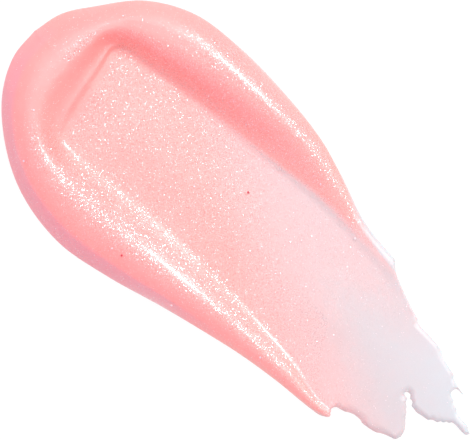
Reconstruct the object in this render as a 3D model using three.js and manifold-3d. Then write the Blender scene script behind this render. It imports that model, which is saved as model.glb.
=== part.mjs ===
// A smear of pearly lip gloss, drawn out on a flat surface by a flat applicator.
//
// Millimetres, +Z up. The stroke runs along +X, from the heavy rounded head to the thin split
// tail. The origin is the middle of the smear's outline, on the surface that it lies on.
//
// The applicator pushes a bead up round the head and along both sides (a horseshoe of ridges)
// and leaves a flat floor between them, which thins into a film and ends in fingers.

import * as THREE from 'three';
import { ParametricGeometry } from 'three/addons/geometries/ParametricGeometry.js';
import { mergeVertices } from 'three/addons/utils/BufferGeometryUtils.js';
import Module from 'manifold-3d';

const wasm = await Module();
wasm.setup();

// ---- Driving dimensions ----------------------------------------------------------------

const STROKE_LENGTH = 40;       // head tip to the end of the longest finger
const APPLICATOR_WIDTH = 7.6;   // the floor between the feet of the two ridges
const BEAD_BREADTH = 4.88;      // how far the gloss is pushed out past the applicator's tip
const RIDGE_HEIGHT = 2.15;      // highest place of the bead
const FILM_AT_HEAD = 0.55;      // gloss left on the floor, where the stroke starts
const FILM_AT_TAIL = 0.17;      // gloss left on the floor, where it runs out

const FLAKE_COUNT = 30;
const FLAKE_LARGEST = 0.18;     // across the corners of a hexagonal flake
const FLAKE_SMALLEST = 0.1;
const FLAKE_THICKNESS = 0.03;
const GRAIN_DIAMETER = 0.15;
const SKIN_GAP = 0.05;          // between the gloss and what lies on it

const FLOOR_LENGTH = STROKE_LENGTH - BEAD_BREADTH;

// ---- The run of the bead ---------------------------------------------------------------

// Each row is one place round the horseshoe, and says where the ridge's profile lies there:
//   foot   [along, across]  share of the floor's length, share of half the applicator's width
//   out    [along, across]  from the foot to the outline, as shares of the bead's breadth
//   crest  how far the crest lies from the outline towards the foot
//   rise   the crest's share of the ridge height
// The rows go from the head's tip round to the tail, and both sides have the same number.

const UPPER_RIDGE = [
  { foot: [0.017, 0], out: [-1.11, 0.04], crest: 0.56, rise: 0.93 },
  { foot: [0.008, 0.4], out: [-0.94, 0.15], crest: 0.57, rise: 0.94 },
  { foot: [0, 0.74], out: [-0.61, 0.29], crest: 0.52, rise: 0.96 },
  { foot: [0.01, 0.86], out: [-0.24, 0.72], crest: 0.46, rise: 0.98 },
  { foot: [0.08, 0.96], out: [-0.11, 0.98], crest: 0.41, rise: 1 },
  { foot: [0.174, 1.06], out: [0, 0.99], crest: 0.39, rise: 1 },
  { foot: [0.288, 1.11], out: [0, 0.92], crest: 0.37, rise: 0.84 },
  { foot: [0.402, 1.17], out: [0, 0.76], crest: 0.33, rise: 0.55 },
  { foot: [0.487, 1.22], out: [0, 0.53], crest: 0.3, rise: 0.31 },
  { foot: [0.573, 1.2], out: [0, 0.32], crest: 0.3, rise: 0.17 },
  { foot: [0.658, 1.12], out: [0, 0.3], crest: 0.35, rise: 0.12 },
  { foot: [0.744, 1.02], out: [0, 0.35], crest: 0.4, rise: 0.09 },
  { foot: [0.829, 1], out: [0, 0.33], crest: 0.4, rise: 0.1 },
  { foot: [0.932, 0.8], out: [0, 0.41], crest: 0.4, rise: 0.08 },
  { foot: [1.034, 0.6], out: [0, 0.45], crest: 0.4, rise: 0.07 },
];

const LOWER_RIDGE = [
  { foot: [0.017, 0], out: [-1.11, 0.04], crest: 0.56, rise: 0.93 },
  { foot: [0.024, -0.34], out: [-1.13, -0.14], crest: 0.53, rise: 0.93 },
  { foot: [0.033, -0.7], out: [-0.96, -0.34], crest: 0.51, rise: 0.92 },
  { foot: [0.048, -0.96], out: [-0.59, -0.6], crest: 0.53, rise: 0.91 },
  { foot: [0.08, -0.98], out: [-0.16, -0.943], crest: 0.52, rise: 0.9 },
  { foot: [0.174, -0.89], out: [0, -1.157], crest: 0.49, rise: 0.88 },
  { foot: [0.288, -0.82], out: [0, -1.087], crest: 0.46, rise: 0.83 },
  { foot: [0.402, -0.83], out: [0, -0.869], crest: 0.43, rise: 0.72 },
  { foot: [0.487, -0.89], out: [0, -0.683], crest: 0.455, rise: 0.64 },
  { foot: [0.573, -0.99], out: [0, -0.48], crest: 0.46, rise: 0.53 },
  { foot: [0.658, -1.08], out: [0, -0.33], crest: 0.46, rise: 0.41 },
  { foot: [0.744, -1.2], out: [0, -0.19], crest: 0.46, rise: 0.26 },
  { foot: [0.829, -1.1], out: [0, -0.18], crest: 0.46, rise: 0.12 },
  { foot: [0.932, -0.9], out: [0, -0.22], crest: 0.46, rise: 0.08 },
  { foot: [1.034, -0.7], out: [0, -0.3], crest: 0.46, rise: 0.07 },
];

const HEAD_CENTRE = 0.157;      // share of the floor's length: the head's rows fan out from it
const FLOOR_BESIDE_RIDGE = 0.8; // the floor is this much thinner where a ridge's foot meets it

// The tail's edge, measured as the feet are: from the end of the upper ridge, down the film's
// slanting edge, round the fingers and the slit between them, to the lower ridge's blunt end.
const TAIL_EDGE = [
  [0.658, 1.75], [0.667, 1.50], [0.681, 1.36], [0.715, 1.21], [0.772, 1.02], [0.815, 0.96],
  [0.858, 0.87], [0.915, 0.67], [0.940, 0.60], [0.915, 0.53], [0.929, 0.42], [0.960, 0.28],
  [0.986, 0.24], [1.000, 0.16], [0.989, 0.08], [0.962, 0.09], [0.929, -0.13], [0.892, -0.23],
  [0.866, -0.08], [0.851, -0.10], [0.868, -0.18], [0.889, -0.40], [0.906, -0.62], [0.904, -0.79],
  [0.858, -0.97], [0.809, -1.03], [0.773, -1.16], [0.777, -1.25], [0.781, -1.31], [0.769, -1.40],
  [0.744, -1.48], [0.721, -1.65],
];

// ---- Mesh fineness ---------------------------------------------------------------------

const STEPS_ALONG = 72;         // rings from the head's tip to the tail
const STEPS_UP = 6;             // outline to crest
const STEPS_DOWN = 6;           // crest to foot
const STEPS_FLOOR = 2;          // foot to the middle of the floor
const STEPS_HALF = STEPS_UP + STEPS_DOWN + STEPS_FLOOR;
const STEPS_UNDER = 2;          // flat underside, outline to outline
const STEPS_ROUND = 2 * STEPS_HALF + STEPS_UNDER;
const STEPS_TAIL = 112;         // along the tail's edge

// ---- Curves ----------------------------------------------------------------------------

const mix = THREE.MathUtils.lerp;

const onFloor = ([along, across]) => new THREE.Vector3(
  along * FLOOR_LENGTH,
  across * APPLICATOR_WIDTH / 2,
  0,
);

const pushedOut = ([along, across]) => new THREE.Vector3(along, across, 0)
  .multiplyScalar(BEAD_BREADTH);

// A smooth run through one value per row, read with a share of the way from head to tail.
function run(points) {
  return new THREE.CatmullRomCurve3(points, false, 'centripetal');
}

function ridgeRuns(rows) {
  return {
    outline: run(rows.map((row) => onFloor(row.foot).add(pushedOut(row.out)))),
    foot: run(rows.map((row) => onFloor(row.foot))),
    crest: run(rows.map((row, i) => new THREE.Vector3(i, row.crest, row.rise))),
  };
}

const upperRuns = ridgeRuns(UPPER_RIDGE);
const lowerRuns = ridgeRuns(LOWER_RIDGE);

// The middle of the floor, at the height of the film there.
function middlePoint(along) {
  const start = HEAD_CENTRE * FLOOR_LENGTH;
  const x = Math.max(start, upperRuns.outline.getPoint(along).x);
  const drawnOut = Math.min((x - start) / (FLOOR_LENGTH - start), 1);
  return new THREE.Vector3(x, 0, mix(FILM_AT_HEAD, FILM_AT_TAIL, drawnOut));
}

// ---- The gloss surface -----------------------------------------------------------------

// A point of the gloss: along 0 at the head's tip and 1 past the tail; step counts in from the
// outline of one side, over the crest and down to the middle of the floor.
function sidePoint(runs, along, step) {
  const outline = runs.outline.getPoint(along);
  const foot = runs.foot.getPoint(along);
  const { y: crestShare, z: rise } = runs.crest.getPoint(along);
  const middle = middlePoint(along);
  const crest = new THREE.Vector3().lerpVectors(outline, foot, crestShare);
  const film = middle.z;
  middle.z = 0;
  const footHeight = film * FLOOR_BESIDE_RIDGE;
  const crestHeight = Math.max(rise * RIDGE_HEIGHT, footHeight);

  if (step <= STEPS_UP) {
    const turn = (step / STEPS_UP) * Math.PI / 2;
    const point = new THREE.Vector3().lerpVectors(outline, crest, 1 - Math.cos(turn));
    return point.setZ(crestHeight * Math.sin(turn));
  }
  if (step <= STEPS_UP + STEPS_DOWN) {
    const share = (step - STEPS_UP) / STEPS_DOWN;
    const point = new THREE.Vector3().lerpVectors(crest, foot, share);
    return point.setZ(mix(crestHeight, footHeight, THREE.MathUtils.smoothstep(share, 0, 1)));
  }
  const share = (step - STEPS_UP - STEPS_DOWN) / STEPS_FLOOR;
  const point = new THREE.Vector3().lerpVectors(foot, middle, share);
  return point.setZ(mix(footHeight, film, share));
}

// One ring: from the upper outline over both ridges to the lower outline, and back underneath.
function ringPoint(along, step) {
  if (step <= STEPS_HALF) return sidePoint(upperRuns, along, step);
  if (step <= 2 * STEPS_HALF) return sidePoint(lowerRuns, along, 2 * STEPS_HALF - step);
  if (step < STEPS_ROUND) return middlePoint(along).setZ(0);
  return sidePoint(upperRuns, along, 0);
}

// The rings close up to one point beyond the tail, where the tail's edge is cut later.
const BEYOND_TAIL = new THREE.Vector3(1.1 * FLOOR_LENGTH, 0, 0);

function smearSurface(around, along, target) {
  const point = along >= 1 ? BEYOND_TAIL : ringPoint(along, Math.round(around * STEPS_ROUND));
  target.copy(point);
}

// ---- Solids ----------------------------------------------------------------------------

// Shared corners merged, and the slivers that closed to a line or a point left out.
function joined(geometry) {
  const bare = geometry.clone();
  bare.deleteAttribute('normal');
  bare.deleteAttribute('uv');
  const merged = mergeVertices(bare, 1e-4);
  const kept = [];
  const index = merged.getIndex().array;
  for (let i = 0; i < index.length; i += 3) {
    const [a, b, c] = index.slice(i, i + 3);
    if (a !== b && b !== c && c !== a) kept.push(a, b, c);
  }
  merged.setIndex(kept);
  return merged;
}

function toSolid(geometry) {
  const merged = joined(geometry);
  return new wasm.Manifold(new wasm.Mesh({
    numProp: 3,
    vertProperties: new Float32Array(merged.getAttribute('position').array),
    triVerts: new Uint32Array(merged.getIndex().array),
  }));
}

function toGeometry(solid) {
  const { vertProperties, triVerts } = solid.getMesh();
  const geometry = new THREE.BufferGeometry();
  geometry.setAttribute('position', new THREE.BufferAttribute(vertProperties, 3));
  geometry.setIndex(new THREE.BufferAttribute(triVerts, 1));
  geometry.computeVertexNormals();
  return geometry;
}

// Everything past the tail's edge, as a thick plate.
function pastTail() {
  const edge = TAIL_EDGE.map(onFloor).map(({ x, y }) => new THREE.Vector2(x, y));
  const shape = new THREE.Shape(new THREE.SplineCurve(edge).getPoints(STEPS_TAIL));
  const side = 2 * APPLICATOR_WIDTH;
  shape.lineTo(1.2 * FLOOR_LENGTH, -side);
  shape.lineTo(1.2 * FLOOR_LENGTH, side);
  const plate = new THREE.ExtrudeGeometry(shape, { depth: 3 * RIDGE_HEIGHT, bevelEnabled: false });
  return toSolid(plate.translate(0, 0, -RIDGE_HEIGHT));
}

function glossGeometry() {
  const surface = new ParametricGeometry(smearSurface, STEPS_ROUND, STEPS_ALONG);
  return toGeometry(toSolid(surface).subtract(pastTail()));
}

// ---- Pieces ----------------------------------------------------------------------------

const glossColour = new THREE.MeshStandardMaterial({ color: 0xfcc0bd, roughness: 0.12 });
const pearlColour = new THREE.MeshStandardMaterial({
  color: 0xfff1ee,
  roughness: 0.2,
  metalness: 0.9,
});
const pigmentColour = new THREE.MeshStandardMaterial({ color: 0xc0202e, roughness: 0.6 });

const smear = new THREE.Group();
const stroke = new THREE.Group();
smear.add(stroke);

function addPiece(name, geometry, material) {
  const piece = new THREE.Mesh(geometry, material);
  piece.name = name;
  stroke.add(piece);
  return piece;
}

// Lays a piece on the gloss at one place of the loft, its own Z along the skin's normal.
function layOnSkin(piece, along, step, lift) {
  const here = ringPoint(along, step);
  const onward = ringPoint(along + 0.5 / STEPS_ALONG, step).sub(here);
  const across = ringPoint(along, step + 1).sub(ringPoint(along, step - 1));
  const normal = across.cross(onward).normalize();
  piece.position.copy(here).addScaledVector(normal, lift);
  piece.quaternion.setFromUnitVectors(new THREE.Vector3(0, 0, 1), normal);
}

const gloss = addPiece('gloss', glossGeometry(), glossColour);

// Flakes: scattered by the golden ratio, so they never fall in rows.
const FLAKE_FIRST = 0.08;       // share of the loft's length where flakes start and stop
const FLAKE_LAST = 0.68;
const FLAKE_CLEAR_STEPS = 3;    // none so near the outline that it would hang over the side
const GOLDEN = (Math.sqrt(5) - 1) / 2;

for (let i = 0; i < FLAKE_COUNT; i += 1) {
  const along = mix(FLAKE_FIRST, FLAKE_LAST, (i + 0.5) / FLAKE_COUNT);
  const across = (i * GOLDEN) % 1;
  const step = Math.round(mix(FLAKE_CLEAR_STEPS, 2 * STEPS_HALF - FLAKE_CLEAR_STEPS, across));
  const size = mix(FLAKE_SMALLEST, FLAKE_LARGEST, (i * GOLDEN * 3) % 1);
  const plate = new THREE.CylinderGeometry(size / 2, size / 2, FLAKE_THICKNESS, 6);
  plate.rotateX(Math.PI / 2);
  const flake = addPiece(`flake_${String(i + 1).padStart(2, '0')}`, plate, pearlColour);
  layOnSkin(flake, along, step, SKIN_GAP + FLAKE_THICKNESS / 2);
}

// Two grains of pigment that never dispersed: one on the floor, one on the lower ridge.
const GRAINS = [
  { along: 0.481, step: STEPS_UP + STEPS_DOWN + 1 },
  { along: 0.424, step: 2 * STEPS_HALF - STEPS_UP + 1 },
];

GRAINS.forEach(({ along, step }, i) => {
  const ball = new THREE.IcosahedronGeometry(GRAIN_DIAMETER / 2, 1);
  const grain = addPiece(`pigment_grain_${i + 1}`, ball, pigmentColour);
  layOnSkin(grain, along, step, SKIN_GAP + GRAIN_DIAMETER / 2);
});

// The middle of the outline goes to the origin.
gloss.geometry.computeBoundingBox();
const middleOfOutline = gloss.geometry.boundingBox.getCenter(new THREE.Vector3());
stroke.position.set(-middleOfOutline.x, -middleOfOutline.y, 0);

export default smear;
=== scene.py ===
"""A smear of pearly lip gloss: the wet mass itself, the glitter in it, and a white table under it."""

import math
import random

import bmesh
import bpy
from bpy.props import (
    FloatProperty, FloatVectorProperty, IntProperty, PointerProperty,
)
from mathutils import Matrix, Vector, noise


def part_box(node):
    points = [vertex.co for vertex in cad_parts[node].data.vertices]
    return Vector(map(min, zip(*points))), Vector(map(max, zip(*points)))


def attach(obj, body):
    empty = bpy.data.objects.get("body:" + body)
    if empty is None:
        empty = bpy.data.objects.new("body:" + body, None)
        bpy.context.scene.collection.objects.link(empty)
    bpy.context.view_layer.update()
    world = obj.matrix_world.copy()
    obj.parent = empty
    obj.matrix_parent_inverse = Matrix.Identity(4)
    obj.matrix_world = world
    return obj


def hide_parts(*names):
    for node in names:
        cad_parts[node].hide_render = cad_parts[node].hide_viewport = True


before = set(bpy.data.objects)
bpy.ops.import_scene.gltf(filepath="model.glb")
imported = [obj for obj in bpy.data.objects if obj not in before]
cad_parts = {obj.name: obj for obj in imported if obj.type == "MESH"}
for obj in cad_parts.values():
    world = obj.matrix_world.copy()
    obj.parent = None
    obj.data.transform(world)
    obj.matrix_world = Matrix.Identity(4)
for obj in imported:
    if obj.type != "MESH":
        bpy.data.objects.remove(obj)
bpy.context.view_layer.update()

bl_info = {
    "name": "Lip gloss smear",
    "version": (1, 0, 0),
    "blender": (4, 5, 0),
    "location": "View3D > Sidebar > Gloss",
    "description": "Draws out a smear of pearly lip gloss with its glitter",
    "category": "Mesh",
}

MM = 0.001
GLOSS_LOW, GLOSS_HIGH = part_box("gloss")
BODY = "root"

# ---- The run of the bead ------------------------------------------------------------------

# Each row is one place round the horseshoe of ridges, from the head's tip to the tail:
#   foot    share of the floor's length, share of half the applicator's width
#   out     from the foot to the outline, as shares of the bead's breadth
#   crest   how far the crest lies from the outline towards the foot
#   rise    the crest's share of the ridge height
UPPER_RIDGE = (
    ((0.017, 0.00), (-1.11, 0.04), 0.56, 0.93),
    ((0.008, 0.40), (-0.94, 0.15), 0.57, 0.94),
    ((0.000, 0.74), (-0.61, 0.29), 0.52, 0.96),
    ((0.010, 0.86), (-0.24, 0.72), 0.46, 0.98),
    ((0.080, 0.96), (-0.11, 0.98), 0.41, 1.00),
    ((0.174, 1.06), (0.00, 0.99), 0.39, 1.00),
    ((0.288, 1.11), (0.00, 0.92), 0.37, 0.84),
    ((0.402, 1.17), (0.00, 0.76), 0.33, 0.55),
    ((0.487, 1.22), (0.00, 0.53), 0.30, 0.31),
    ((0.573, 1.20), (0.00, 0.32), 0.30, 0.17),
    ((0.658, 1.12), (0.00, 0.30), 0.35, 0.12),
    ((0.744, 1.02), (0.00, 0.35), 0.40, 0.09),
    ((0.829, 1.00), (0.00, 0.33), 0.40, 0.10),
    ((0.932, 0.80), (0.00, 0.41), 0.40, 0.08),
    ((1.034, 0.60), (0.00, 0.45), 0.40, 0.07),
)
LOWER_RIDGE = (
    ((0.017, 0.00), (-1.11, 0.04), 0.56, 0.93),
    ((0.024, -0.34), (-1.13, -0.14), 0.53, 0.93),
    ((0.033, -0.70), (-0.96, -0.34), 0.51, 0.92),
    ((0.048, -0.96), (-0.59, -0.60), 0.53, 0.91),
    ((0.080, -0.98), (-0.16, -0.943), 0.52, 0.90),
    ((0.174, -0.89), (0.00, -1.157), 0.49, 0.88),
    ((0.288, -0.82), (0.00, -1.087), 0.46, 0.83),
    ((0.402, -0.83), (0.00, -0.869), 0.43, 0.72),
    ((0.487, -0.86), (0.00, -0.706), 0.44, 0.64),
    ((0.573, -0.92), (0.00, -0.535), 0.415, 0.53),
    ((0.658, -1.00), (0.00, -0.392), 0.39, 0.41),
    ((0.744, -1.20), (0.00, -0.19), 0.46, 0.26),
    ((0.829, -1.10), (0.00, -0.18), 0.46, 0.12),
    ((0.932, -0.90), (0.00, -0.22), 0.46, 0.08),
    ((1.034, -0.70), (0.00, -0.30), 0.46, 0.07),
)

# The tail's edge, measured as the feet are: down the film's slanting edge, round the fingers
# and the slit between them, to the lower ridge's blunt end.
TAIL_EDGE = (
    (0.658, 1.75), (0.667, 1.50), (0.681, 1.36), (0.715, 1.21), (0.772, 1.02),
    (0.815, 0.96), (0.858, 0.87), (0.915, 0.67), (0.940, 0.60), (0.915, 0.53),
    (0.929, 0.42), (0.960, 0.28), (0.986, 0.24), (1.000, 0.16), (0.989, 0.08),
    (0.962, 0.09), (0.929, -0.13), (0.892, -0.23), (0.866, -0.08), (0.851, -0.10),
    (0.868, -0.18), (0.889, -0.40), (0.906, -0.62), (0.904, -0.79), (0.858, -0.97),
    (0.809, -1.03), (0.773, -1.16), (0.777, -1.25), (0.781, -1.31), (0.769, -1.40),
    (0.744, -1.48), (0.721, -1.65),
)

HEAD_REACH = 0.99             # of the bead's breadth, from the floor's start to the head's tip
HEAD_CENTRE = 0.157           # share of the floor's length that the head's rows fan out from
FLOOR_BESIDE_RIDGE = 0.8      # of the floor's thickness, what is left at a ridge's foot
HIGHEST_ROW = 0.985           # of the gloss's height; the curve between rows rises above it

RINGS = 340                   # from the head's tip to past the tail
UP, DOWN, FLOOR = 24, 26, 12  # steps from the outline to the crest, the foot and the middle
HALF = UP + DOWN + FLOOR
TAIL_STEPS = 10               # between two points of the tail's edge
WELD_WITHIN = 0.0002 * MM     # corners that are closer than this become one
TRIM_WITHIN = 0.0001 * MM     # corners that are this close to the table count as on it

# A pair of shares is where a fade starts and ends. These two are shares of the run:
LIP_ENDS = (0.10, 0.24)       # the head's lip dies away
FOOT_SOFTENS = (0.26, 0.48)   # the upper ridge's foot loses its sharpness
# and these two of the way down from the crest to the foot:
CREST_TO_LIP = (0.10, 0.75)
LIP_TO_FOOT = (0.78, 1.0)

RIPPLE_LENGTH = 1.6 * MM
RIPPLE_FROM = 0.5 * MM        # gloss that is thinner than this ripples less

# ---- How the skin looks from place to place -----------------------------------------------

# Depth: the gloss looks deeper than it stands in three places; in the head's two corners this is
# painted shade.
SIDE_DEPTH = 0.45               # from the crest's height towards the skin's own, on the outer side
# Painted shade in the head's two corners, upper and lower, where the foot meets the floor:
CORNER_SHADE_AT_UPPER_FOOT = 0.1 * MM   # how much deeper it looks in the head's two corners
CORNER_SHADE_AT_LOWER_FOOT = 0.7 * MM
CORNER_SHADE_REACH = 0.7                # of the way from the foot to the middle
DRAWN_BAND = 0.08 * MM          # the upper ridge's foot draws this much more gloss out with it
DRAWN_REACH = 0.8               # of the way from the foot to the middle
DRAWN_STARTS, DRAWN_STOPS = (0.5, 0.7), (0.8, 0.9)

# Violet: a painted lavender shade and reflection, low on the outer side that is turned from the key
# light; its fades run along the upper side and the lower side, and up from the outline towards the
# crest.
VIOLET_STOPS = ((0.0, 0.05), (0.47, 0.63))
VIOLET_CLIMBS = (0.33, 0.45)
VIOLET_GROWS = (0.0, 0.15)      # along the lower side, from its strength at the head
VIOLET_AT_HEAD = 0.35

# Glitter: the share of it that the skin shows where it is calm, and where it wakes.
CALM_HEAD, CALM_SIDE, CALM_FLOOR, CALM_FILM = 0.15, 0.3, 0.8, 0.04
HEAD_WAKES = (0.12, 0.24)
UPPER_CREST_WAKES = (0.25, 0.37)
SIDES_WAKE = ((0.05, 0.35), (0.7, 1.0))  # from the outline to the crest, upper and lower
FILM_WAKES = (0.22 * MM, 0.46 * MM)      # depths of gloss
HEAD_PATCH_STOPS = (0.09, 0.15)          # one bright patch lies on the head's crest
HEAD_PATCH_STEPS = 6                     # to each side of it
GLITTER_FROM = 0.1 * MM                  # no loose flake lies on gloss lower than this
RIDGE_GLITTER_FROM = 0.6 * MM            # and as many again lie only above this
FACING_UP = 0.4                          # and none on faces whose normal points up less

# Smoothness: side (0 upper, 1 lower), shares of the run, steps in, and how far the skin has
# levelled there, or below nought stayed rough.
LEVELLED = (
    (0, 0.10, 0.33, UP // 2, UP + DOWN // 2, -1),
    (0, 0.31, 0.49, 0, UP, 0.8),
    (1, 0.19, 0.30, UP // 2, UP + DOWN, 0.8),
    (1, 0.24, 0.46, UP // 2, HALF, -1),
    (1, 0.42, 0.56, 0, UP + DOWN // 2, 0.8),
    (1, 0.46, 0.60, UP + DOWN // 2, HALF, -1),
    (1, 0.58, 0.80, UP + DOWN // 2, HALF, 1),
)

PEARL_CELL = 0.055 * MM         # across one grain of pearl in the skin
POLISHED_SHARE = 0.3            # of the grains, the ones that glint
MATT_LEAN, POLISHED_LEAN = 0.06, 0.3  # how far the two kinds of grain lean from the skin
UNLEVELLED, FULLY_LEVELLED, POLISHED = 0.5, 0.34, 0.15  # how rough each is
RAMP_DEPTH = 2                  # millimetres of gloss at the far end of the colour ramp
COOL_SHADE = (0.97, 0.98, 1.08)  # turns the glitter's colour into its bluer shade

# ---- The stage ----------------------------------------------------------------------------

TABLE_HALF = 1.5                # metres
TABLE_GAP = 0.03 * MM           # keeps the table clear of the gloss's flat underside
DIM_WAY = (-0.22, -0.94, -0.25)  # the room is dimmest and pinkest this way
LIGHT_DISTANCE = 0.5            # metres, from the middle of the smear
VIEW_WIDTH = 31.74 * MM         # from side to side, at the table
VIEW_MIDDLE = (-1.38 * MM, 0.365 * MM)
VIEW_TURN = math.radians(43.45)

# ---- What a user would change -------------------------------------------------------------

class GlossSizes(bpy.types.PropertyGroup):
    applicator_width: FloatProperty(
        name="Applicator width", description="Floor between the feet of the two ridges",
        default=7.6 * MM, unit="LENGTH")
    bead_breadth: FloatProperty(
        name="Bead breadth", description="How far the gloss is pushed out past the applicator",
        default=4.88 * MM, unit="LENGTH")
    ridge_height: FloatProperty(
        name="Ridge height", description="Of the highest row of the bead",
        default=HIGHEST_ROW * GLOSS_HIGH.z, unit="LENGTH")
    film_at_head: FloatProperty(
        name="Film at the head", description="Gloss left on the floor where the stroke starts",
        default=0.55 * MM, unit="LENGTH")
    film_at_tail: FloatProperty(
        name="Film at the tail", description="Gloss left on the floor where it runs out",
        default=0.17 * MM, unit="LENGTH")
    film_edge: FloatProperty(
        name="Film edge", description="How far in the film's rounded edge reaches",
        default=0.06 * MM, unit="LENGTH")
    shoulder: FloatProperty(
        name="Shoulder", description="1 makes the bead's side upright at the table, 2 slopes it",
        default=1.45, min=1.0, max=2.0)
    foot_sharpness: FloatProperty(
        name="Foot sharpness", description="Above 1 the upper ridge's foot is tighter than its crest",
        default=1.9, min=1.0, max=3.0)
    lower_sharpness: FloatProperty(
        name="Lower foot sharpness", description="The same for the lower ridge",
        default=1.1, min=1.0, max=3.0)
    film_lean: FloatProperty(
        name="Film lean", description="More thinning at the upper ridge, as a share of head to tail",
        default=0.22, min=0.0, max=0.5)
    head_lip: FloatProperty(
        name="Head lip", description="Height of the lip below the head, as a share of its rise",
        default=0.26, min=0.0, max=0.6)
    ripple: FloatProperty(
        name="Ripple", description="Unevenness that the drawing out leaves in the surface",
        default=0.012 * MM, unit="LENGTH")


class GlossColours(bpy.types.PropertyGroup):
    deep: FloatVectorProperty(
        name="Deep gloss", description="Where the gloss stands thick",
        default=(0.96, 0.28, 0.265), subtype="COLOR", size=3)
    shallow: FloatVectorProperty(
        name="Shallow gloss", description="On the floor of the stroke",
        default=(0.84, 0.33, 0.305), subtype="COLOR", size=3)
    thin: FloatVectorProperty(
        name="Thin gloss", description="Between the film and the floor of the stroke",
        default=(0.52, 0.468, 0.488), subtype="COLOR", size=3)
    film: FloatVectorProperty(
        name="Film", description="The thinnest gloss, as pale as the table",
        default=(0.47, 0.522, 0.556), subtype="COLOR", size=3)
    # Painted shade and reflection: a lavender cast, low on the outer side that faces away from the
    # key light.
    violet_shade: FloatVectorProperty(
        name="Violet edge", description="The pearl's other colour, on the outer side in shade",
        default=(0.77, 0.265, 0.315), subtype="COLOR", size=3)
    glitter: FloatVectorProperty(
        name="Glitter", description="The pearl flakes",
        default=(1.0, 0.84, 0.83), subtype="COLOR", size=3)
    pigment: FloatVectorProperty(
        name="Pigment", description="Grains that never dispersed",
        default=(0.62, 0.02, 0.06), subtype="COLOR", size=3)


class GlossGlitter(bpy.types.PropertyGroup):
    doublings: IntProperty(
        name="Doublings", description="Each of the two pieces has two to this power flakes",
        default=13, min=1, max=13)
    smallest: FloatProperty(
        name="Smallest flake", description="Across its corners", default=0.022 * MM,
        unit="LENGTH")
    largest: FloatProperty(
        name="Largest flake", description="Across its corners", default=0.058 * MM,
        unit="LENGTH")
    thickness: FloatProperty(
        name="Thickness", description="Of one flake", default=0.012 * MM, unit="LENGTH")
    tilt: FloatProperty(
        name="Tilt", description="How far flakes lean from the skin, as a usual value",
        default=math.radians(13), subtype="ANGLE")
    seed: IntProperty(name="Seed", description="Another scatter of the flakes", default=4)


# ---- Curves -------------------------------------------------------------------------------

def lerp(a, b, share):
    return a + (b - a) * share


def smoothstep(share):
    share = min(max(share, 0.0), 1.0)
    return share * share * (3 - 2 * share)


def fade(at, span):
    """0 up to the start of a span, 1 from its end on, and smooth between them."""
    start, end = span
    return smoothstep((at - start) / (end - start))


def smooth_run(points, share):
    """A centripetal Catmull-Rom curve through points, with an equal share for each span."""
    spans = len(points) - 1
    at = min(max(share, 0.0), 1.0) * spans
    i = min(int(at), spans - 1)
    p1, p2 = points[i], points[i + 1]
    p0 = points[i - 1] if i else p1 * 2 - p2
    p3 = points[i + 2] if i + 2 <= spans else p2 * 2 - p1
    step = math.sqrt((p2 - p1).length) or 1.0
    before = math.sqrt((p1 - p0).length) or step
    after = math.sqrt((p3 - p2).length) or step
    leave = ((p1 - p0) / before - (p2 - p0) / (before + step) + (p2 - p1) / step) * step
    arrive = ((p2 - p1) / step - (p3 - p1) / (step + after) + (p3 - p2) / after) * step
    t = at - i
    return (p1 * (2 * t**3 - 3 * t**2 + 1) + leave * (t**3 - 2 * t**2 + t)
            + p2 * (3 * t**2 - 2 * t**3) + arrive * (t**3 - t**2))


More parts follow.
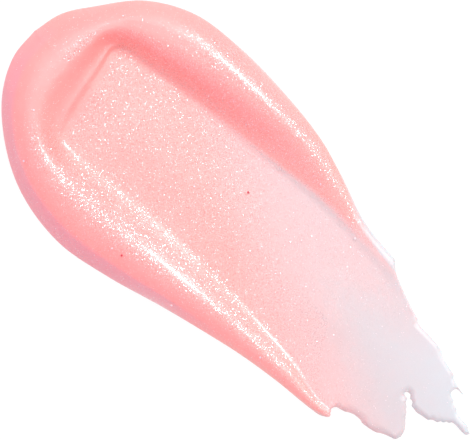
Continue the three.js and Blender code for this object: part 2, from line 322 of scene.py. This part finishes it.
class Stroke:
    """Where the ridges, the floor and the tail's edge lie, in the frame's metres."""

    def __init__(self, sizes):
        self.sizes = sizes
        self.floor_length = (GLOSS_HIGH.x - GLOSS_LOW.x) - HEAD_REACH * sizes.bead_breadth
        self.start = Vector((GLOSS_HIGH.x - self.floor_length, 0, 0))
        reach = max(self.outline_y(row) for row in UPPER_RIDGE)
        self.start.y = GLOSS_HIGH.y - reach
        self.upper = self.runs(UPPER_RIDGE)
        self.lower = self.runs(LOWER_RIDGE)

    def outline_y(self, row):
        return row[0][1] * self.sizes.applicator_width / 2 + row[1][1] * self.sizes.bead_breadth

    def on_floor(self, shares):
        across = shares[1] * self.sizes.applicator_width / 2
        return self.start + Vector((shares[0] * self.floor_length, across, 0))

    def runs(self, rows):
        feet = [self.on_floor(foot) for foot, _, _, _ in rows]
        breadth = self.sizes.bead_breadth
        outs = [Vector((out[0], out[1], 0)) * breadth for _, out, _, _ in rows]
        return {
            "foot": feet,
            "outline": [foot + out for foot, out in zip(feet, outs)],
            "crest": [Vector((i, row[2], row[3])) for i, row in enumerate(rows)],
        }

    def ring(self, share):
        """One ring's rails for each side, its middle, how drawn out it is and how much lip it has."""
        rails = []
        upper_sharpness = lerp(self.sizes.foot_sharpness, 1, fade(share, FOOT_SOFTENS))
        sharpness = (upper_sharpness, self.sizes.lower_sharpness)
        for side, sharp in zip((self.upper, self.lower), sharpness):
            outline = smooth_run(side["outline"], share)
            foot = smooth_run(side["foot"], share)
            _, crest, rise = smooth_run(side["crest"], share)
            rails.append((outline, foot, crest, rise, sharp))
        head = self.on_floor((HEAD_CENTRE, 0))
        middle = Vector((max(head.x, rails[0][0].x), self.start.y, 0))
        drawn_out = min((middle.x - head.x) / (GLOSS_HIGH.x - head.x), 1.0)
        return rails, middle, drawn_out, 1 - fade(share, LIP_ENDS)

    def film(self, drawn_out, across):
        """The film's height, which falls towards the tail and towards the upper ridge."""
        lean = self.sizes.film_lean * across / (self.sizes.applicator_width / 2)
        thinned = min(max(drawn_out + lean, 0.0), 1.0)
        return lerp(self.sizes.film_at_head, self.sizes.film_at_tail, thinned)

    def skin_point(self, rails, middle, drawn_out, lip, step):
        """A point of the skin, step counting in from the outline to the middle."""
        outline, foot, crest_share, rise, sharpness = rails
        crest = outline.lerp(foot, crest_share)
        foot_height = self.film(drawn_out, foot.y - middle.y) * FLOOR_BESIDE_RIDGE
        crest_height = max(rise * self.sizes.ridge_height, foot_height)
        if step <= UP:
            turn = step / UP * math.pi / 2
            place = outline.lerp(crest, 1 - math.cos(turn))
            place.z = crest_height * math.sin(turn) ** self.sizes.shoulder
            return place
        if step <= UP + DOWN:
            share = (step - UP) / DOWN
            place = crest.lerp(foot, share)
            fall = (1 + math.cos(math.pi * share ** sharpness)) / 2
            height = self.sizes.head_lip
            to_lip, to_foot = fade(share, CREST_TO_LIP), fade(share, LIP_TO_FOOT)
            terrace = 1 - (1 - height) * to_lip - height * to_foot
            place.z = lerp(foot_height, crest_height, lerp(fall, terrace, lip))
            return place
        share = (step - UP - DOWN) / FLOOR
        place = foot.lerp(middle, share)
        film = self.film(drawn_out, place.y - middle.y)
        place.z = film * lerp(FLOOR_BESIDE_RIDGE, 1, smoothstep(share))
        return place


# ---- Mesh helpers -------------------------------------------------------------------------

def new_piece(name, mesh_maker):
    """A finished mesh from a bmesh, riding on the one body of the smear."""
    mesh = bpy.data.meshes.new(name)
    mesh_maker.to_mesh(mesh)
    mesh_maker.free()
    piece = bpy.data.objects.new(name, mesh)
    bpy.context.scene.collection.objects.link(piece)
    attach(piece, BODY)
    return piece


def tail_edge_points(stroke):
    anchors = [stroke.on_floor(shares) for shares in TAIL_EDGE]
    count = (len(anchors) - 1) * TAIL_STEPS
    return [smooth_run(anchors, i / count) for i in range(count + 1)]


def edge_distance(point, edge):
    """How far point lies inside the tail's edge; below nought outside it."""
    best = None
    for a, b in zip(edge, edge[1:]):
        run = b - a
        away = point - a
        share = min(max(away.dot(run) / run.length_squared, 0.0), 1.0)
        gap = (away - run * share).length
        if best is None or gap < best[0]:
            best = (gap, run.cross(away).z)
    return best[0] if best[1] < 0 else -best[0]


def up_the_side(step):
    """How far a step up the outer side has come from the outline to the crest, seen from above."""
    return 1 - math.cos(step / UP * math.pi / 2)


def painted_edge_shade(share, side, step):
    """How much painted lavender shade and reflection the skin gets: only low on the outer side, from
    the head along the lower ridge, the side turned from the key light.
    """
    if step > UP:
        return 0.0
    strength = 1 - fade(share, VIOLET_STOPS[side])
    growing = fade(share, VIOLET_GROWS) if side == 1 else 0
    low = 1 - fade(up_the_side(step), VIOLET_CLIMBS)
    return low * strength * lerp(VIOLET_AT_HEAD, 1, growing)


def glittering(share, side, step, depth):
    """How much of its glitter the skin shows: the head, the outer side and the film are calm."""
    on_upper_crest = side == 0 and step < UP + DOWN // 3
    wakes = UPPER_CREST_WAKES if on_upper_crest else HEAD_WAKES
    shown = lerp(CALM_HEAD, 1, fade(share, wakes))
    if step < UP:
        shown *= lerp(CALM_SIDE, 1, fade(up_the_side(step), SIDES_WAKE[side]))
    elif step > UP + DOWN:
        shown = CALM_FLOOR
    if side == 0:
        beside_crest = 1 - smoothstep(abs(step - UP - 1) / HEAD_PATCH_STEPS)
        shown = max(shown, beside_crest * (1 - fade(share, HEAD_PATCH_STOPS)))
    return shown * lerp(CALM_FILM, 1, fade(depth, FILM_WAKES))


def levelled(share, side, step):
    """How mirror-smooth the skin is: it has levelled only in a few long patches."""
    smooth = 0.0
    for patch_side, first, last, low, high, amount in LEVELLED:
        if side == patch_side and low <= step <= high:
            middle, half = (first + last) / 2, (last - first) / 2
            smooth += amount * (1 - smoothstep(abs(share - middle) / half))
    return smooth


def corner_shade_and_drawn_band(share, side, step, lip):
    """How much deeper the gloss looks: painted shade in the head's corners, and more drawn-out gloss
    along the upper ridge's foot.
    """
    extra = 0.0
    past_foot = (step - UP - DOWN) / FLOOR
    # painted shade: the colour deepens in the head's corners, fading from the foot into the floor
    if step > UP + DOWN // 2:
        corner_shade = CORNER_SHADE_AT_LOWER_FOOT if side else CORNER_SHADE_AT_UPPER_FOOT
        extra += lip * corner_shade * (1 - smoothstep(past_foot / CORNER_SHADE_REACH))
    if side == 0 and step > UP:
        drawn = fade(share, DRAWN_STARTS) * (1 - fade(share, DRAWN_STOPS))
        extra += DRAWN_BAND * drawn * (1 - smoothstep(past_foot / DRAWN_REACH))
    return extra


def film_edge_height(height, inside, sizes):
    """The skin's height near the tail's edge, where inside is counted in film edges."""
    if inside < 0:
        return 2 * inside * sizes.film_at_tail
    if inside < 1:
        return height * inside * (2 - inside)
    return height


def lay_skin(stroke):
    """A grid bent into the smear's upper skin, with what the materials need at each point."""
    sizes = stroke.sizes
    skin = bmesh.new()
    bmesh.ops.create_grid(skin, x_segments=2 * HALF, y_segments=RINGS, size=1.0)
    depth = skin.verts.layers.float.new("depth")
    # painted lavender shade and reflection on the outer side turned from the key light
    violet_shade = skin.verts.layers.float.new("violet_shade")
    wet = skin.verts.layers.float.new("wet")
    glitter = skin.verts.layers.float.new("glitter")
    edge = tail_edge_points(stroke)
    near_tail = min(point.x for point in edge) - sizes.film_edge
    rings = [stroke.ring(i / RINGS) for i in range(RINGS + 1)]
    for vert in skin.verts:
        across = round((vert.co.x + 1) * HALF)
        ring = round((vert.co.y + 1) / 2 * RINGS)
        share = ring / RINGS
        rails, middle, drawn_out, lip = rings[ring]
        side, step = (0, across) if across <= HALF else (1, 2 * HALF - across)
        place = stroke.skin_point(rails[side], middle, drawn_out, lip, step)
        film = stroke.film(drawn_out, place.y - middle.y)
        crest_height = rails[side][3] * sizes.ridge_height
        shown = lerp(crest_height, place.z, SIDE_DEPTH) if step < UP else place.z
        # the depth colour also carries painted shade in the head's corners
        shown = max(shown, film) + corner_shade_and_drawn_band(share, side, step, lip)
        ripple = noise.noise(place / RIPPLE_LENGTH) * smoothstep(place.z / RIPPLE_FROM)
        place.z += ripple * sizes.ripple
        if place.x > near_tail:
            inside = edge_distance(Vector((place.x, place.y, 0)), edge) / sizes.film_edge
            place.z = film_edge_height(place.z, inside, sizes)
        vert.co = place
        vert[depth] = shown / MM
        # painted lavender shade and reflection, low on the outer side away from the key light
        vert[violet_shade] = painted_edge_shade(share, side, step)
        vert[wet] = levelled(share, side, step)
        vert[glitter] = glittering(share, side, step, shown)
    bmesh.ops.remove_doubles(skin, verts=skin.verts, dist=WELD_WITHIN)
    return skin


def close_underside(skin):
    """Trims the skin where it meets the table and closes it with one flat underside."""
    bmesh.ops.bisect_plane(
        skin, geom=skin.verts[:] + skin.edges[:] + skin.faces[:], dist=TRIM_WITHIN,
        plane_co=(0, 0, 0), plane_no=(0, 0, 1), clear_inner=True)
    loose = [edge for edge in skin.edges if not edge.link_faces]
    bmesh.ops.delete(skin, geom=loose, context="EDGES")
    for face in skin.faces:
        face.smooth = True
    rim = [edge for edge in skin.edges if edge.is_boundary]
    for edge in rim:
        edge.smooth = False
    bmesh.ops.triangle_fill(skin, edges=rim, use_beauty=True, normal=(0, 0, -1))


# ---- Materials ----------------------------------------------------------------------------

def new_material(name):
    material = bpy.data.materials.new(name)
    material.use_nodes = True
    tree = material.node_tree
    tree.nodes.clear()
    output = tree.nodes.new("ShaderNodeOutputMaterial")
    shader = tree.nodes.new("ShaderNodeBsdfPrincipled")
    tree.links.new(shader.outputs["BSDF"], output.inputs["Surface"])
    return material, tree, shader


def colour_stops(ramp, stops):
    while len(ramp.elements) < len(stops):
        ramp.elements.new(0.5)
    for element, (position, colour) in zip(ramp.elements, stops):
        element.position = position
        element.color = (*colour, 1.0)


def pearl_grain(tree, loading):
    """Cells of pearl, each leaning its own way but never down: a normal, polish and shade."""
    nodes, links = tree.nodes, tree.links
    place = nodes.new("ShaderNodeTexCoord")
    cells = nodes.new("ShaderNodeTexVoronoi")
    cells.inputs["Scale"].default_value = 1 / PEARL_CELL
    links.new(place.outputs["Object"], cells.inputs["Vector"])
    chance = nodes.new("ShaderNodeTexWhiteNoise")
    links.new(cells.outputs["Position"], chance.inputs["Vector"])
    polished = nodes.new("ShaderNodeMath")
    polished.operation = "LESS_THAN"
    polished.inputs[1].default_value = POLISHED_SHARE
    links.new(chance.outputs["Value"], polished.inputs[0])
    reach = nodes.new("ShaderNodeMapRange")
    reach.inputs["To Min"].default_value = MATT_LEAN
    reach.inputs["To Max"].default_value = POLISHED_LEAN
    links.new(polished.outputs["Value"], reach.inputs["Value"])
    loaded = nodes.new("ShaderNodeMath")
    loaded.operation = "MULTIPLY"
    links.new(reach.outputs["Result"], loaded.inputs[0])
    links.new(loading, loaded.inputs[1])
    centred = nodes.new("ShaderNodeVectorMath")
    centred.operation = "MULTIPLY_ADD"
    centred.inputs[1].default_value = (2, 2, 1)
    centred.inputs[2].default_value = (-1, -1, 0)
    links.new(cells.outputs["Color"], centred.inputs[0])
    leaned = nodes.new("ShaderNodeVectorMath")
    leaned.operation = "SCALE"
    links.new(centred.outputs["Vector"], leaned.inputs[0])
    links.new(loaded.outputs["Value"], leaned.inputs["Scale"])
    skin = nodes.new("ShaderNodeNewGeometry")
    leaning = nodes.new("ShaderNodeVectorMath")
    leaning.operation = "ADD"
    links.new(skin.outputs["Normal"], leaning.inputs[0])
    links.new(leaned.outputs["Vector"], leaning.inputs[1])
    unit = nodes.new("ShaderNodeVectorMath")
    unit.operation = "NORMALIZE"
    links.new(leaning.outputs["Vector"], unit.inputs[0])
    return unit.outputs["Vector"], polished.outputs["Value"], chance.outputs["Value"]


def gloss_material(colours):
    material, tree, shader = new_material("wet_pearl_gloss")
    nodes, links = tree.nodes, tree.links
    depth = nodes.new("ShaderNodeAttribute")
    depth.attribute_name = "depth"
    spread = nodes.new("ShaderNodeMapRange")
    spread.inputs["From Max"].default_value = RAMP_DEPTH
    links.new(depth.outputs["Fac"], spread.inputs["Value"])
    ramp = nodes.new("ShaderNodeValToRGB")
    colour_stops(ramp.color_ramp, [(millimetres / RAMP_DEPTH, colour) for millimetres, colour in (
        (0.17, colours.film),
        (0.28, colours.thin),
        (0.47, colours.shallow),
        (1.5, colours.deep),
    )])
    links.new(spread.outputs["Result"], ramp.inputs["Fac"])
    glitter = nodes.new("ShaderNodeAttribute")
    glitter.attribute_name = "glitter"
    # Painted shade and reflection: the lavender cast, mixed in low on the outer side turned from the
    # key light.
    edge = nodes.new("ShaderNodeAttribute")
    edge.attribute_name = "violet_shade"
    tinted = nodes.new("ShaderNodeMix")
    tinted.data_type = "RGBA"
    tinted.inputs["B"].default_value = (*colours.violet_shade, 1)
    links.new(edge.outputs["Fac"], tinted.inputs["Factor"])
    links.new(ramp.outputs["Color"], tinted.inputs["A"])
    normal, polished, chance = pearl_grain(tree, glitter.outputs["Fac"])
    links.new(normal, shader.inputs["Normal"])
    mottle = nodes.new("ShaderNodeMapRange")
    mottle.inputs["To Min"].default_value = 0.985
    mottle.inputs["To Max"].default_value = 1.015
    links.new(chance, mottle.inputs["Value"])
    mottled = nodes.new("ShaderNodeVectorMath")
    mottled.operation = "SCALE"
    links.new(tinted.outputs["Result"], mottled.inputs[0])
    links.new(mottle.outputs["Result"], mottled.inputs["Scale"])
    links.new(mottled.outputs["Vector"], shader.inputs["Base Color"])
    dry = nodes.new("ShaderNodeMapRange")
    dry.clamp = False
    dry.inputs["To Min"].default_value = UNLEVELLED
    dry.inputs["To Max"].default_value = FULLY_LEVELLED
    polish = nodes.new("ShaderNodeMapRange")
    polish.inputs["To Max"].default_value = POLISHED
    links.new(dry.outputs["Result"], polish.inputs["To Min"])
    shine = nodes.new("ShaderNodeMath")
    shine.operation = "MULTIPLY"
    links.new(polished, shine.inputs[0])
    links.new(glitter.outputs["Fac"], shine.inputs[1])
    links.new(shine.outputs["Value"], polish.inputs["Value"])
    links.new(polish.outputs["Result"], shader.inputs["Roughness"])
    shader.inputs["IOR"].default_value = 2.2
    level = nodes.new("ShaderNodeAttribute")
    level.attribute_name = "wet"
    links.new(level.outputs["Fac"], dry.inputs["Value"])
    coat = nodes.new("ShaderNodeMapRange")
    coat.inputs["To Min"].default_value = 0.05
    coat.inputs["To Max"].default_value = 1.0
    links.new(level.outputs["Fac"], coat.inputs["Value"])
    links.new(coat.outputs["Result"], shader.inputs["Coat Weight"])
    shader.inputs["Coat Roughness"].default_value = 0.05
    shader.inputs["Coat IOR"].default_value = 1.46
    shader.inputs["Subsurface Weight"].default_value = 0.45
    shader.inputs["Subsurface Radius"].default_value = (1.0, 0.35, 0.3)
    shader.inputs["Subsurface Scale"].default_value = 0.6 * MM
    return material


def glitter_material(colours):
    material, tree, shader = new_material("pearl_glitter")
    nodes, links = tree.nodes, tree.links
    place = nodes.new("ShaderNodeTexCoord")
    shade = nodes.new("ShaderNodeTexNoise")
    shade.inputs["Scale"].default_value = 1 / (0.3 * MM)
    links.new(place.outputs["Object"], shade.inputs["Vector"])
    ramp = nodes.new("ShaderNodeValToRGB")
    colour_stops(ramp.color_ramp, (
        (0.35, colours.glitter),
        (0.65, [min(1.0, c * s) for c, s in zip(colours.glitter, COOL_SHADE)]),
    ))
    links.new(shade.outputs["Fac"], ramp.inputs["Fac"])
    links.new(ramp.outputs["Color"], shader.inputs["Base Color"])
    shader.inputs["Metallic"].default_value = 1.0
    shader.inputs["Roughness"].default_value = 0.3
    return material


def pigment_material(colours):
    material, tree, shader = new_material("raw_pigment")
    nodes, links = tree.nodes, tree.links
    place = nodes.new("ShaderNodeTexCoord")
    clump = nodes.new("ShaderNodeTexNoise")
    clump.inputs["Scale"].default_value = 1 / (0.04 * MM)
    links.new(place.outputs["Object"], clump.inputs["Vector"])
    ramp = nodes.new("ShaderNodeValToRGB")
    colour_stops(ramp.color_ramp, (
        (0.3, [c * 0.7 for c in colours.pigment]),
        (0.7, colours.pigment),
    ))
    links.new(clump.outputs["Fac"], ramp.inputs["Fac"])
    links.new(ramp.outputs["Color"], shader.inputs["Base Color"])
    shader.inputs["Roughness"].default_value = 0.5
    return material


def table_material():
    material, tree, shader = new_material("white_table")
    nodes, links = tree.nodes, tree.links
    place = nodes.new("ShaderNodeTexCoord")
    mottle = nodes.new("ShaderNodeTexNoise")
    mottle.inputs["Scale"].default_value = 1 / (6 * MM)
    links.new(place.outputs["Object"], mottle.inputs["Vector"])
    ramp = nodes.new("ShaderNodeValToRGB")
    colour_stops(ramp.color_ramp, ((0.3, (0.12, 0.12, 0.12)), (0.7, (0.14, 0.14, 0.14))))
    links.new(mottle.outputs["Fac"], ramp.inputs["Fac"])
    links.new(ramp.outputs["Color"], shader.inputs["Base Color"])
    shader.inputs["Roughness"].default_value = 0.6
    shader.inputs["Specular IOR Level"].default_value = 0.0
    shader.inputs["Emission Color"].default_value = (1, 1, 1, 1)
    shader.inputs["Emission Strength"].default_value = 0.88
    return material


# ---- Operators ----------------------------------------------------------------------------

class GLOSS_OT_smear(bpy.types.Operator):
    """Lays down the wet gloss: head, two ridges, floor, film and fingers in one mass"""
    bl_idname = "gloss.smear"
    bl_label = "Gloss smear"

    def execute(self, context):
        scene = context.scene
        skin = lay_skin(Stroke(scene.gloss_sizes))
        close_underside(skin)
        smear = new_piece("gloss_smear", skin)
        smear.data.materials.append(gloss_material(scene.gloss_colours))
        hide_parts("gloss")
        return {"FINISHED"}


def random_place(mesh, face, draw):
    """A random place on a face of three or four corners."""
    corners = [mesh.vertices[i].co for i in face.vertices]
    u, v = draw.random(), draw.random()
    return corners[0].lerp(corners[1], u).lerp(corners[-1].lerp(corners[2], u), v)


class GLOSS_OT_glitter(bpy.types.Operator):
    """Scatters the fine pearl flakes over the skin, each leaning its own way"""
    bl_idname = "gloss.glitter"
    bl_label = "Pearl glitter"

    def execute(self, context):
        scene = context.scene
        skin = bpy.data.objects["gloss_smear"].data
        finish = glitter_material(scene.gloss_colours)
        draw = random.Random(scene.gloss_glitter.seed)
        for name, lowest in (("pearl_glitter", GLITTER_FROM), ("ridge_glitter", RIDGE_GLITTER_FROM)):
            faces = [face for face in skin.polygons
                     if face.normal.z > FACING_UP and face.center.z >= lowest]
            flakes = self.scatter(scene.gloss_glitter, skin, faces, draw)
            glitter = new_piece(name, flakes)
            glitter.data.materials.append(finish)
        return {"FINISHED"}

    def scatter(self, settings, skin, faces, draw):
        flakes = bmesh.new()
        bmesh.ops.create_circle(flakes, cap_ends=True, segments=6, radius=0.5)
        plate = bmesh.ops.extrude_face_region(flakes, geom=flakes.faces[:])
        lifted = [item for item in plate["geom"] if isinstance(item, bmesh.types.BMVert)]
        bmesh.ops.translate(flakes, verts=lifted, vec=(0, 0, 1))
        bmesh.ops.recalc_face_normals(flakes, faces=flakes.faces[:])
        for _ in range(settings.doublings):
            bmesh.ops.duplicate(flakes, geom=flakes.verts[:] + flakes.edges[:] + flakes.faces[:])
        flakes.verts.ensure_lookup_table()
        corners = len(flakes.verts) >> settings.doublings
        shown = skin.attributes["glitter"].data
        weights = [face.area * shown[face.vertices[0]].value for face in faces]
        chosen = draw.choices(faces, weights=weights, k=1 << settings.doublings)
        for i, face in enumerate(chosen):
            across = lerp(settings.smallest, settings.largest, draw.random() ** 3)
            lean = draw.gauss(0, settings.tilt)
            turn = draw.uniform(0, math.tau)
            spin = Matrix.Rotation(draw.uniform(0, math.tau), 4, "Z")
            tip = Matrix.Rotation(lean, 4, (math.cos(turn), math.sin(turn), 0))
            upright = face.normal.to_track_quat("Z", "Y").to_matrix().to_4x4()
            shape = Matrix.Diagonal((across, across, settings.thickness, 1))
            where = random_place(skin, face, draw)
            place = Matrix.Translation(where) @ upright @ tip @ spin @ shape
            for vert in flakes.verts[i * corners:(i + 1) * corners]:
                vert.co = place @ vert.co
        return flakes


class GLOSS_OT_large_grains(bpy.types.Operator):
    """Gives the large flakes and the pigment grains their finishes"""
    bl_idname = "gloss.large_grains"
    bl_label = "Large flakes and grains"

    def execute(self, context):
        colours = context.scene.gloss_colours
        pearl = bpy.data.materials["pearl_glitter"]
        pigment = pigment_material(colours)
        for name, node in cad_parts.items():
            finish = pearl if name.startswith("flake") else pigment
            if name != "gloss":
                node.data.materials.clear()
                node.data.materials.append(finish)
        return {"FINISHED"}


def softbox(name, azimuth, zenith, size, radiance):
    """A rectangular light aimed at the smear; its first side lies level."""
    light = bpy.data.lights.new(name, "AREA")
    light.shape = "RECTANGLE"
    light.size, light.size_y = size
    light.energy = radiance * math.pi * size[0] * size[1]
    lamp = bpy.data.objects.new(name, light)
    bpy.context.scene.collection.objects.link(lamp)
    across, up = math.radians(azimuth), math.radians(zenith)
    away = Vector((math.sin(up) * math.cos(across), math.sin(up) * math.sin(across), math.cos(up)))
    lamp.location = (GLOSS_LOW + GLOSS_HIGH) / 2 + away * LIGHT_DISTANCE
    lamp.rotation_euler = away.to_track_quat("Z", "Y").to_euler()


class GLOSS_OT_stage(bpy.types.Operator):
    """Sets the white table, the soft lights and the camera"""
    bl_idname = "gloss.stage"
    bl_label = "Table, lights and camera"

    def execute(self, context):
        scene = context.scene
        scene.view_settings.view_transform = "Standard"
        self.table(scene)
        self.lights(scene)
        self.camera(scene)
        return {"FINISHED"}

    def table(self, scene):
        slab = bmesh.new()
        bmesh.ops.create_grid(slab, x_segments=4, y_segments=4, size=TABLE_HALF)
        bmesh.ops.translate(slab, verts=slab.verts, vec=(0, 0, -TABLE_GAP))
        mesh = bpy.data.meshes.new("table")
        slab.to_mesh(mesh)
        slab.free()
        table = bpy.data.objects.new("table", mesh)
        scene.collection.objects.link(table)
        mesh.materials.append(table_material())

    def lights(self, scene):
        world = bpy.data.worlds.new("white_room")
        scene.world = world
        world.use_nodes = True
        nodes, links = world.node_tree.nodes, world.node_tree.links
        sky = nodes["Background"]
        facing = nodes.new("ShaderNodeVectorMath")
        facing.operation = "DOT_PRODUCT"
        facing.inputs[1].default_value = DIM_WAY
        place = nodes.new("ShaderNodeTexCoord")
        links.new(place.outputs["Generated"], facing.inputs[0])
        shade = nodes.new("ShaderNodeValToRGB")
        colour_stops(shade.color_ramp, (
            (0.2, (1.0, 1.0, 1.0)),
            (0.9, (0.94, 0.75, 0.86)),
        ))
        spread = nodes.new("ShaderNodeMapRange")
        spread.inputs["From Min"].default_value = -1
        links.new(facing.outputs["Value"], spread.inputs["Value"])
        links.new(spread.outputs["Result"], shade.inputs["Fac"])
        links.new(shade.outputs["Color"], sky.inputs["Color"])
        sky.inputs["Strength"].default_value = 1.0
        softbox("key_softbox", azimuth=92, zenith=44, size=(0.18, 0.07), radiance=32)
        softbox("head_softbox", azimuth=158, zenith=26, size=(0.10, 0.10), radiance=17)

    def camera(self, scene):
        lens = bpy.data.cameras.new("camera")
        lens.lens = 200
        lens.sensor_width = 36
        camera = bpy.data.objects.new("camera", lens)
        scene.collection.objects.link(camera)
        camera.location = (*VIEW_MIDDLE, VIEW_WIDTH * lens.lens / lens.sensor_width)
        camera.rotation_euler = (0, 0, VIEW_TURN)
        lens.clip_start = 0.01
        lens.clip_end = 10
        scene.camera = camera


class GLOSS_PT_panel(bpy.types.Panel):
    """The steps that make the smear, in order"""
    bl_label = "Lip gloss smear"
    bl_idname = "GLOSS_PT_panel"
    bl_space_type = "VIEW_3D"
    bl_region_type = "UI"
    bl_category = "Gloss"

    def draw(self, context):
        layout = self.layout
        for operator in OPERATORS:
            layout.operator(operator.bl_idname)
        for group in (context.scene.gloss_sizes, context.scene.gloss_colours,
                      context.scene.gloss_glitter):
            for name in group.__annotations__:
                layout.prop(group, name)


GROUPS = (GlossSizes, GlossColours, GlossGlitter)
OPERATORS = (GLOSS_OT_smear, GLOSS_OT_glitter, GLOSS_OT_large_grains, GLOSS_OT_stage)


def register():
    for cls in (*GROUPS, *OPERATORS, GLOSS_PT_panel):
        bpy.utils.register_class(cls)
    bpy.types.Scene.gloss_sizes = PointerProperty(type=GlossSizes)
    bpy.types.Scene.gloss_colours = PointerProperty(type=GlossColours)
    bpy.types.Scene.gloss_glitter = PointerProperty(type=GlossGlitter)


def unregister():
    del bpy.types.Scene.gloss_glitter
    del bpy.types.Scene.gloss_colours
    del bpy.types.Scene.gloss_sizes
    for cls in (GLOSS_PT_panel, *reversed(OPERATORS), *reversed(GROUPS)):
        bpy.utils.unregister_class(cls)


def main():
    register()
    bpy.ops.gloss.smear()
    bpy.ops.gloss.glitter()
    bpy.ops.gloss.large_grains()
    bpy.ops.gloss.stage()


if __name__ == "__main__":
    main()
